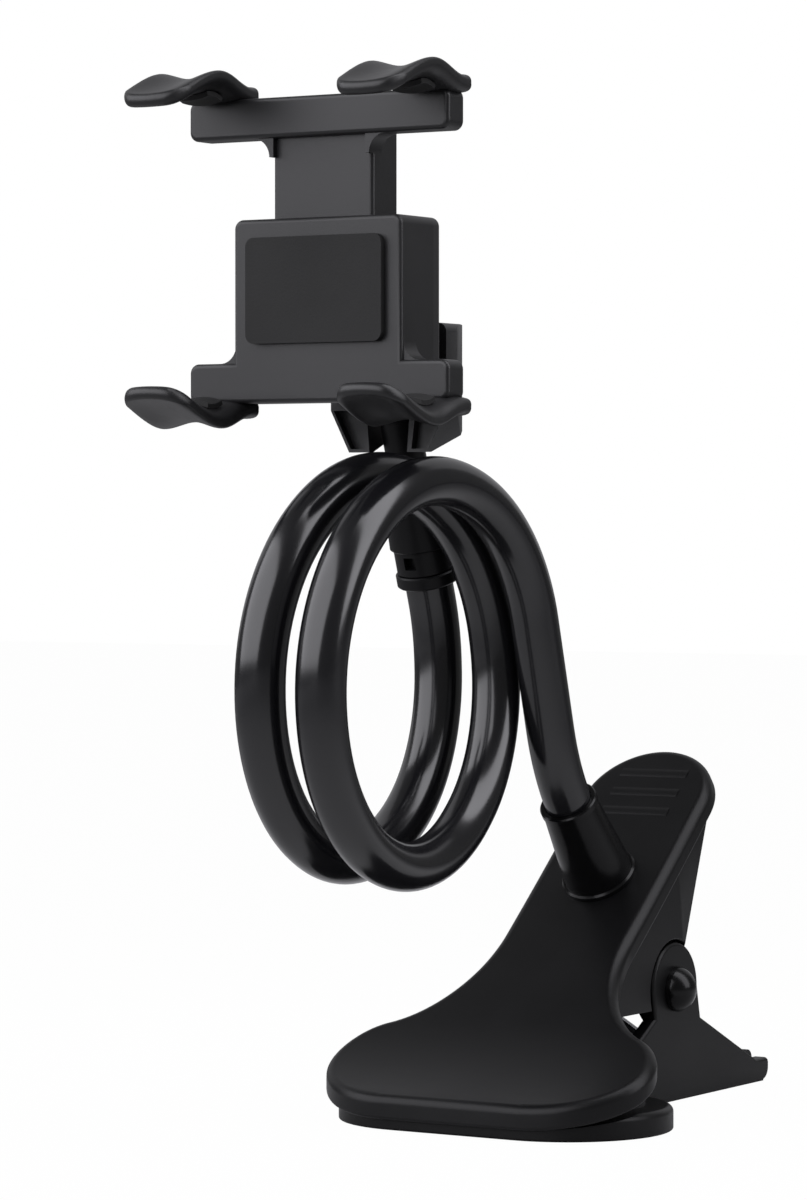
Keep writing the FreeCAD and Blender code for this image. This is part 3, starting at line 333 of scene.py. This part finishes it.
def roundAxis(cadNode, flat):
    points = np.array([v.co for v in nodes[cadNode].data.vertices])
    points = np.unique(np.round(points, decimals=6), axis=0)
    low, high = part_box(cadNode)
    directions = np.linalg.eigh(np.cov((points - points.mean(0)).T))[1]  # from the least spread to the most
    axis = Vector(directions[:, 0 if flat else -1])
    if axis.z < 0:
        axis.negate()
    return (low + high) / 2 / mm, axis


# Gooseneck: wound route from the boot to the neck

gooseneck = {
    "sheathRadius": 5.25,
    "sheathSides": 48,
    "coreRadius": 3.0,
    "coreSides": 20,
    "step": 3.0,         # degrees of bend between two rings
    "loopRadius": 40.7,
    "loopY": -78.2,
    "loopZ": 96.6,
    "climb": 0.95,       # rise in a turn
    "entry": 15.0,       # angle where the tube joins the loops
    "turns": 2,
    "arcs": 6,           # arcs in a turn
    "frontX": -3.6,
    "pitch": 15.0,
    "ease": 0.985,
    "entryBend": 48.0,
    "neckBend": 40.0,
    "riser": 7.5,
    "startLift": 9.6,    # from the washer to the foot of the tube
    "neckReach": 11.9,
    "coreReach": 24.4,
}


def loopDrift(angle):
    if angle < 180.0:
        return gooseneck["frontX"] * (angle - gooseneck["entry"]) / (180.0 - gooseneck["entry"])
    return gooseneck["frontX"] - gooseneck["pitch"] * (angle - 180.0) / 360.0


def gooseneckRoute(reach):
    g = gooseneck
    foot, bootAxis = roundAxis("arm_washer", True)
    neckLine = roundAxis("ball_neck", False)[1]
    neckAxis = Vector((0.0, neckLine.y, neckLine.z)).normalized()
    start = foot + bootAxis * g["startLift"]
    count = g["arcs"] * g["turns"]
    step = (360.0 * g["turns"] - g["entry"]) / count
    cornerRadius = g["loopRadius"] / math.cos(math.radians(step / 2))
    corners = []
    for i in range(count):
        angle = g["entry"] + step * (i + 0.5)
        turn = math.radians(angle)
        middleZ = g["loopZ"] + g["climb"] * angle / 360.0
        corners.append(Vector((loopDrift(angle), g["loopY"] + cornerRadius * math.cos(turn),
                               middleZ + cornerRadius * math.sin(turn))))
    entry = math.radians(g["entry"])
    across = Vector((0.0, math.cos(entry), math.sin(entry)))
    join = Vector((0.0, g["loopY"], g["loopZ"])) + across * g["loopRadius"]
    lead = start + bootAxis * ((join - start).dot(across) / bootAxis.dot(across))
    bend = Vector((loopDrift(360.0 * g["turns"]), g["loopY"] + g["loopRadius"],
                   g["loopZ"] + g["climb"] * g["turns"] + g["riser"]))
    radii = [g["entryBend"]] + [g["loopRadius"] * g["ease"]] * count + [g["neckBend"]]
    return roundedRoute([start, lead] + corners + [bend, bend + neckAxis * reach], radii, g["step"])


sheathRoute = gooseneckRoute(gooseneck["neckReach"])
coreRoute = gooseneckRoute(gooseneck["coreReach"])
sheath = tubePiece("sheath", sheathRoute, gooseneck["sheathRadius"], gooseneck["sheathSides"], "sheath")
seat(sheath, "sheath", "arm_sheath")
core = tubePiece("coreWire", coreRoute, gooseneck["coreRadius"], gooseneck["coreSides"], "core")
seat(core, "core", "arm_core")
print("gooseneck wound:", len(sheath.data.polygons), "faces")


# Upper jaw: the rear edges of its cheeks lean in and its finger ribs are low, as the photograph shows

jawCheek = {
    "root": 10.15,       # half widths over the flat skirts and over the cheeks
    "level": 13.2,
    "room": 11.0,        # round the pivot, kept clear of the ear
    "heel": (9.8, 10.3),
    "back": (19.5, 36.0),
    "draw": 4.7,         # how far the rear edge moves forward
    "reach": 2.0,        # corners up to this far behind the old edge move too
    "share": (0.02, 1.02),  # part of the way from root to level that moves
}


def drawInCheeks(corners):
    c = jawCheek
    pivotZ = middleHeight("pivot_pin")
    lean = (c["back"][0] - c["heel"][0]) / (c["back"][1] - c["heel"][1])
    foot = c["heel"][0] - c["draw"] - lean * c["heel"][1]
    lowZ = (math.sqrt(c["room"] ** 2 * (1 + lean ** 2) - foot ** 2) - lean * foot) / (1 + lean ** 2)
    for corner in corners:
        share = (abs(corner.co.x) / mm - c["root"]) / (c["level"] - c["root"])
        y = corner.co.y / mm
        z = corner.co.z / mm - pivotZ
        newZ = max(z, lowZ)
        newY = foot + lean * newZ
        onCheek = c["share"][0] < share < c["share"][1] and z < c["back"][1]
        if onCheek and newY < y < newY + c["draw"] + c["reach"]:
            corner.co.y = newY * mm
            corner.co.z = (pivotZ + newZ) * mm


jawPlate = {
    "rim": 7.3,          # height of the front edge, then its straight run and slope
    "rimRun": 4.0,
    "rimSlope": 17.0,
    "bend": 85.0,
    "bendSlope": 37.0,
    "sweep": 1036.0,     # radius of the handle's top face
    "ribHalf": 8.7,
    "ribFrom": 2.0,      # the ribs lie behind this
    "ribLift": (0.01, 0.6),  # heights over the plate that belong to a rib
    "ribShare": 0.4,     # part of a rib's height that is kept
}


def softenRibs(corners):
    p = jawPlate
    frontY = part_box("upper_jaw")[0].y / mm

    def upright(slope):
        return Vector((0, -math.sin(math.radians(slope)), math.cos(math.radians(slope))))

    rimSlope = math.radians(p["rimSlope"])
    rimEnd = Vector((0, frontY + p["rimRun"] * math.cos(rimSlope),
                     p["rim"] + p["rimRun"] * math.sin(rimSlope)))
    sweepStart = rimEnd + (upright(p["rimSlope"]) - upright(p["bendSlope"])) * p["bend"]
    middle = sweepStart + upright(p["bendSlope"]) * p["sweep"]
    for corner in corners:
        place = corner.co / mm
        spoke = Vector((0, place.y, place.z)) - middle
        lift = p["sweep"] - spoke.length
        onHandle = abs(place.x) < p["ribHalf"] and place.y > p["ribFrom"]
        if onHandle and p["ribLift"][0] < lift < p["ribLift"][1]:
            spoke *= 1 + lift * (1 - p["ribShare"]) / spoke.length
            corner.co = (middle + spoke + Vector((place.x, 0, 0))) * mm


def upperJawForm(corners):
    drawInCheeks(corners)
    softenRibs(corners)


# Socket cover: room above the stem at the end of the tilt, a closer slot and thin rims round the panels

coverSlot = {
    "ball": 8.0,
    "top": -3.0,         # top of the slot, from the middle of the ball
    "half": 5.4,
    "room": 0.4,
    "foot": -6.6,        # the slot closes in below this
    "footHalf": 4.8,
    "near": 0.05,        # how close to its place a corner has to be
}
panelMoves = {           # corner of a panel, sideways and up from the ball, and where it moves to
    "lowerInner": ((7.0, -12.1), (5.9, -13.0)),
    "lowerOuter": ((8.4, -12.1), (9.6, -13.0)),
    "upperOuter": ((12.46, -4.6), (14.0, -4.6)),
}


def closeCover(corners):
    s = coverSlot
    near = s["near"]
    low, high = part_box("ball_neck")
    middleX = (low.x + high.x) / 2
    middleZ = high.z - s["ball"] * mm
    for corner in corners:
        aside = (corner.co.x - middleX) / mm
        height = (corner.co.z - middleZ) / mm
        if abs(aside) < s["half"] + near and abs(height - s["top"]) < near:
            corner.co.z += s["room"] * mm
        if abs(abs(aside) - s["half"]) < near and height < s["foot"]:
            corner.co.x = middleX + math.copysign(s["footHalf"], aside) * mm
        for old, new in panelMoves.values():
            if abs(abs(aside) - old[0]) < near and abs(height - old[1]) < near:
                corner.co.x = middleX + math.copysign(new[0], aside) * mm
                corner.co.z = middleZ + new[1] * mm


# Moulded and turned pieces that keep their solid's form

plainPieces = {
    "lowerJawPad": ("lower_jaw_pad", "pad"),
    "upperJawPad": ("upper_jaw_pad", "pad"),
    "pivotPin": ("pivot_pin", "steel"),
    "pivotCaps": ("pivot_caps", "gloss"),
    "armBoot": ("arm_boot", "gloss"),
    "armScrew": ("arm_screw", "steel"),
    "armWasher": ("arm_washer", "steel"),
    "neckFerrule": ("arm_ferrule", "neck"),
    "ballNeck": ("ball_neck", "neck"),
    "cradleTray": ("cradle_body", "soft"),
    "cradleBack": ("cradle_back", "head"),
    "clawSlider": ("upper_slider", "soft"),
    "backPad": ("back_pad", "pad"),
    "lowerLeftClawPad": ("lower_left_claw_pad", "pad"),
    "lowerRightClawPad": ("lower_right_claw_pad", "pad"),
    "upperLeftClawPad": ("upper_left_claw_pad", "pad"),
    "upperRightClawPad": ("upper_right_claw_pad", "pad"),
}
softAngles = {"cradleTray": 50.0, "clawSlider": 50.0}  # their claws blend over wider turns
for pieceName, (cadNode, slot) in plainPieces.items():
    mouldedPiece(pieceName, cadNode, slot, softAngles.get(pieceName, meshCare["sharpAngle"]))


# Moulded pieces with a form or a finish of their own

ownPieces = {
    # the lower jaw takes the darker copy of the jaw finish: painted shade on its front and top
    "lowerJaw": {"cadNode": "lower_jaw", "slot": "jaw", "look": "base"},
    "upperJaw": {"cadNode": "upper_jaw", "slot": "jaw", "sharpAngle": 44.0, "shape": upperJawForm},
    "socketCover": {"cadNode": "socket_cover", "slot": "head", "shape": closeCover},
}
for pieceName, settings in ownPieces.items():
    mouldedPiece(pieceName, **settings)
print("moulded pieces:", len(plainPieces) + len(ownPieces))


# Small screws, one set on the seat of each hole

panScrew = {
    "Head Radius": 2.3,
    "Head Height": 1.4,
    "Head Round": 0.5,
    "Shank Radius": 1.2,
    "Cross Length": 2.8,
    "Cross Width": 0.7,
    "Cross Depth": 0.7,
}
screwMesh = {"sides": 48, "rings": 8, "domePower": 3.0, "weld": 0.004}


def screwSetTree():
    inlets = [("Geometry", "NodeSocketGeometry", None), ("Material", "NodeSocketMaterial", None)]
    inlets += [(label, "NodeSocketFloat", None) for label in (*panScrew, "Shank Length")]
    outlets = [("Geometry", "NodeSocketGeometry")]
    tree, given, result = openGroup("screwSet", "GeometryNodeTree", inlets, outlets)

    def worked(kind, first, second):
        node = addNode(tree, "ShaderNodeMath", operation=kind)
        for inlet, value in zip(node.inputs, (first, second)):
            if isinstance(value, (int, float)):
                inlet.default_value = value
            else:
                tree.links.new(value, inlet)
        return node.outputs[0]

    def raised(mesh, height):
        offset = addNode(tree, "ShaderNodeCombineXYZ")
        move = addNode(tree, "GeometryNodeTransform")
        tree.links.new(height, offset.inputs["Z"])
        tree.links.new(mesh, move.inputs["Geometry"])
        wire(tree, offset, "Vector", move, "Translation")
        return move.outputs["Geometry"]

    def roundBar(radius, depth, middle):
        bar = addNode(tree, "GeometryNodeMeshCylinder")
        bar.inputs["Vertices"].default_value = screwMesh["sides"]
        bar.inputs["Fill Segments"].default_value = screwMesh["rings"]
        wire(tree, given, radius, bar, "Radius")
        wire(tree, given, depth, bar, "Depth")
        return bar, raised(bar.outputs["Mesh"], middle)

    def crossArm(across, along):
        size = addNode(tree, "ShaderNodeCombineXYZ")
        arm = addNode(tree, "GeometryNodeMeshCube")
        wire(tree, given, across, size, "X")
        wire(tree, given, along, size, "Y")
        tree.links.new(worked("MULTIPLY", given.outputs["Cross Depth"], 2.0), size.inputs["Z"])
        wire(tree, size, "Vector", arm, "Size")
        return raised(arm.outputs["Mesh"], given.outputs["Head Height"])

    headMiddle = worked("MULTIPLY", given.outputs["Head Height"], 0.5)
    shankMiddle = worked("MULTIPLY", given.outputs["Shank Length"], -0.5)
    head, headMesh = roundBar("Head Radius", "Head Height", headMiddle)
    shankMesh = roundBar("Shank Radius", "Shank Length", shankMiddle)[1]
    place = addNode(tree, "GeometryNodeInputPosition")
    split = addNode(tree, "ShaderNodeSeparateXYZ")
    wire(tree, place, "Position", split, "Vector")
    reach = worked("ADD", *(worked("POWER", split.outputs[axis], 2.0) for axis in "XY"))
    share = worked("DIVIDE", reach, worked("POWER", given.outputs["Head Radius"], 2.0))
    fall = worked("MULTIPLY", given.outputs["Head Round"], -1.0)
    sink = worked("MULTIPLY", worked("POWER", share, screwMesh["domePower"]), fall)
    drop = addNode(tree, "ShaderNodeCombineXYZ")
    dome = addNode(tree, "GeometryNodeSetPosition")
    tree.links.new(sink, drop.inputs["Z"])
    tree.links.new(headMesh, dome.inputs["Geometry"])
    wire(tree, head, "Top", dome, "Selection")
    wire(tree, drop, "Vector", dome, "Offset")
    recess = addNode(tree, "GeometryNodeMeshBoolean", operation="DIFFERENCE", solver="MANIFOLD")
    weld = addNode(tree, "GeometryNodeMergeByDistance")
    weld.inputs["Distance"].default_value = screwMesh["weld"] * mm
    wire(tree, dome, "Geometry", recess, "Mesh 1")
    tree.links.new(crossArm("Cross Width", "Cross Length"), recess.inputs["Mesh 2"])
    tree.links.new(crossArm("Cross Length", "Cross Width"), recess.inputs["Mesh 2"])
    join = addNode(tree, "GeometryNodeJoinGeometry")
    wire(tree, recess, "Mesh", weld, "Geometry")
    wire(tree, weld, "Geometry", join, "Geometry")
    tree.links.new(shankMesh, join.inputs["Geometry"])
    spread = addNode(tree, "GeometryNodeInstanceOnPoints")
    spread.inputs["Rotation"].default_value = (-math.pi / 2, 0.0, 0.0)  # heads face the rear
    realize = addNode(tree, "GeometryNodeRealizeInstances")
    paint = addNode(tree, "GeometryNodeSetMaterial")
    wire(tree, given, "Geometry", spread, "Points")
    wire(tree, join, "Geometry", spread, "Instance")
    wire(tree, spread, "Instances", realize, "Geometry")
    wire(tree, realize, "Geometry", paint, "Geometry")
    wire(tree, given, "Material", paint, "Material")
    wire(tree, paint, "Geometry", result, "Geometry")
    return tree


screwTree = screwSetTree()


def screwPiece(name, cadNode, rows):
    low, high = (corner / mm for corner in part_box(cadNode))
    edge = panScrew["Head Radius"]
    seatY = high.y - panScrew["Head Height"]
    heights = (low.z + edge, high.z - edge)[:rows]
    points = [Vector((x, seatY, z)) * mm for x in (low.x + edge, high.x - edge) for z in heights]
    mesh = bpy.data.meshes.new(name + "Seats")
    mesh.from_pydata(points, [], [])
    values = {label: value * mm for label, value in panScrew.items()}
    values["Shank Length"] = (seatY - low.y) * mm
    values["Material"] = finishes["steel"]
    piece = grow(name, mesh, screwTree, values)
    seat(piece, "steel", cadNode)
    return piece


backScrews = screwPiece("backScrews", "back_screws", 2)
coverScrews = screwPiece("coverScrews", "cover_screws", 1)
print("screws set:", len(backScrews.data.polygons) + len(coverScrews.data.polygons), "faces")


# Springs, wound between the two bodies they join

clampSpring = {
    "wire": 0.9,         # radius of the wire
    "sides": 14,
    "step": 12.0,        # degrees of bend between two rings
    "coil": 4.6,
    "pitch": 2.1,
    "turns": 4,
    "shift": 1.9,        # sideways from the middle
    "ease": 0.9,
    "legEnd": 31.0,
    "legHeight": 4.2,
}
gripSpring = {"wire": 0.45, "sides": 10, "step": 15.0, "coil": 2.4, "turns": 6, "ease": 0.9}


def clampSpringRoute():
    c = clampSpring
    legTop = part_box("torsion_spring")[1].z / mm
    pivotZ = middleHeight("pivot_pin")
    square = [Vector((0, -1, -1)), Vector((0, -1, 1)), Vector((0, 1, 1)), Vector((0, 1, -1))]
    firstX = c["shift"] - c["pitch"] * c["turns"] / 2
    steps = 4 * c["turns"] + 1
    corners = [Vector((firstX, c["legEnd"], c["legHeight"]))]
    for i in range(steps):
        corners.append(Vector((firstX + c["pitch"] * i / 4, 0, pivotZ)) + square[i % 4] * c["coil"])
    corners.append(Vector((corners[-1].x, -c["coil"], legTop)))
    return roundedRoute(corners, [c["ease"] * c["coil"]] * steps, c["step"]), pivotZ


def gripSpringRoute():
    c = gripSpring
    low, high = (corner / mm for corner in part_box("grip_spring"))
    middle = (low + high) / 2
    bottom = low.z + c["wire"]
    top = high.z - c["wire"]
    square = [Vector((-1, 1, 0)), Vector((-1, -1, 0)), Vector((1, -1, 0)), Vector((1, 1, 0))]
    steps = 4 * c["turns"]
    rise = (top - bottom) / steps
    corners = [Vector((middle.x, middle.y + c["coil"], bottom))]
    for i in range(steps):
        corners.append(Vector((middle.x, middle.y, bottom + rise * (i + 0.5))) + square[i % 4] * c["coil"])
    corners.append(Vector((middle.x, middle.y + c["coil"], top)))
    return roundedRoute(corners, [c["ease"] * c["coil"]] * steps, c["step"]), bottom, top


clampRoute, pivotZ = clampSpringRoute()
torsion = tubePiece("torsionSpring", clampRoute, clampSpring["wire"], clampSpring["sides"], "steel")
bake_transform(torsion)
gripRoute, gripLow, gripHigh = gripSpringRoute()
grip = tubePiece("gripSpring", gripRoute, gripSpring["wire"], gripSpring["sides"], "steel")
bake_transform(grip)
for spring, cadNode in ((torsion, "torsion_spring"), (grip, "grip_spring")):
    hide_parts(cadNode)
print("springs wound:", len(torsion.data.polygons), "and", len(grip.data.polygons), "faces")


# Studio: white surround, pale floor, soft boxes

studio = {
    "fill": 0.15,        # brightness of the surround in reflections
    "lampTint": (0.955, 0.95, 1.0),
    "aim": (-0.015, -0.055, 0.1),
    "floorSize": 6.0,
    "floorGap": 0.00005,  # under the part
    "floorRough": 0.9,
    "floorPaintedLightNear": (0.5, 0.15),  # painted pool of light: floor tone by the clamp, and how far it reaches
    "floorPaintedLightFar": (0.2, 0.45),
    "floorWhite": 0.985,  # share of the floor's own white
}


def whiteSurround():
    world = bpy.data.worlds.new("whiteSurround")
    scene.world = world
    world.use_nodes = True
    tree = world.node_tree
    sky = tree.nodes["Background"]
    sky.inputs["Color"].default_value = (1.0, 1.0, 1.0, 1.0)
    path = addNode(tree, "ShaderNodeLightPath")
    level = addNode(tree, "ShaderNodeMapRange")
    level.inputs["To Min"].default_value = studio["fill"]
    level.inputs["To Max"].default_value = 1.0
    wire(tree, path, "Is Camera Ray", level, "Value")
    wire(tree, level, "Result", sky, "Strength")


def paleFloor():
    material = bpy.data.materials.new("paleFloor")
    material.use_nodes = True
    tree = material.node_tree
    shader = tree.nodes["Principled BSDF"]
    shader.inputs["Roughness"].default_value = studio["floorRough"]
    # floor colour lighter by the clamp and darker further out: a painted pool of light
    place = addNode(tree, "ShaderNodeTexCoord")
    reach = addNode(tree, "ShaderNodeVectorMath", operation="LENGTH")
    paintedPool = addNode(tree, "ShaderNodeMapRange")
    for end, (tone, distance) in (("Min", studio["floorPaintedLightNear"]), ("Max", studio["floorPaintedLightFar"])):
        paintedPool.inputs["To " + end].default_value = tone
        paintedPool.inputs["From " + end].default_value = distance
    wire(tree, place, "Object", reach, 0)
    wire(tree, reach, "Value", paintedPool, "Value")
    wire(tree, paintedPool, "Result", shader, "Base Color")
    glow = addNode(tree, "ShaderNodeEmission")
    path = addNode(tree, "ShaderNodeLightPath")
    share = addNode(tree, "ShaderNodeMath", operation="MULTIPLY")
    share.inputs[1].default_value = studio["floorWhite"]
    blend = addNode(tree, "ShaderNodeMixShader")
    wire(tree, path, "Is Camera Ray", share, 0)
    wire(tree, share, 0, blend, 0)
    wire(tree, shader, 0, blend, 1)
    wire(tree, glow, 0, blend, 2)
    wire(tree, blend, 0, tree.nodes["Material Output"], "Surface")
    half = studio["floorSize"] / 2
    mesh = bpy.data.meshes.new("floor")
    corners = [(-half, -half, 0), (half, -half, 0), (half, half, 0), (-half, half, 0)]
    mesh.from_pydata(corners, [], [(0, 1, 2, 3)])
    mesh.materials.append(material)
    floor = newPiece("floor", mesh)
    floor.location.z = cadBox[0].z - studio["floorGap"]


photoView = {
    "place": (489.1, -883.0, 129.3),  # in millimetres, as are lens and sensor
    "heading": 31.78,
    "pitch": 1.01,
    "lens": 134.94,
    "sensor": 36.0,
    "nearest": 0.01,
}
softBoxes = {            # turn is to the right of the camera, in degrees
    "leftBox": {"turn": -60.0, "rise": 31.0, "away": 1.2, "size": (2.5, 1.3), "glow": 3.0},
    "rightBox": {"turn": 74.0, "rise": 45.0, "away": 1.2, "size": (0.7, 2.0), "glow": 3.8},
    "backBox": {"turn": 180.0, "rise": 30.0, "away": 1.5, "size": (3.0, 1.5), "glow": 0.38},
}


def softBox(name, box):
    turn = math.radians(photoView["heading"] + box["turn"])
    rise = math.radians(box["rise"])
    lamp = bpy.data.lights.new(name, "AREA")
    lamp.shape = "RECTANGLE"
    width, height = box["size"]
    lamp.size = width
    lamp.size_y = height
    lamp.energy = math.pi * width * height * box["glow"]
    lamp.color = studio["lampTint"]
    out = Vector((math.sin(turn) * math.cos(rise), -math.cos(turn) * math.cos(rise), math.sin(rise)))
    light = bpy.data.objects.new(name, lamp)
    light.location = Vector(studio["aim"]) + out * box["away"]
    light.rotation_euler = out.to_track_quat("Z", "Y").to_euler()
    light.visible_camera = False
    scene.collection.objects.link(light)


def photoCamera():
    heading = math.radians(photoView["heading"])
    pitch = math.radians(photoView["pitch"])
    level = math.cos(pitch)
    ahead = Vector((-math.sin(heading) * level, math.cos(heading) * level, -math.sin(pitch)))
    lens = bpy.data.cameras.new("photoCamera")
    lens.lens = photoView["lens"]
    lens.sensor_width = photoView["sensor"]
    lens.clip_start = photoView["nearest"]
    camera = bpy.data.objects.new("photoCamera", lens)
    camera.location = Vector(photoView["place"]) * mm
    camera.rotation_euler = ahead.to_track_quat("-Z", "Y").to_euler()
    scene.collection.objects.link(camera)
    scene.camera = camera


whiteSurround()
paleFloor()
for boxName, box in softBoxes.items():
    softBox(boxName, box)
photoCamera()
scene.view_settings.view_transform = "Standard"
print("studio set")

bpy.context.view_layer.update()
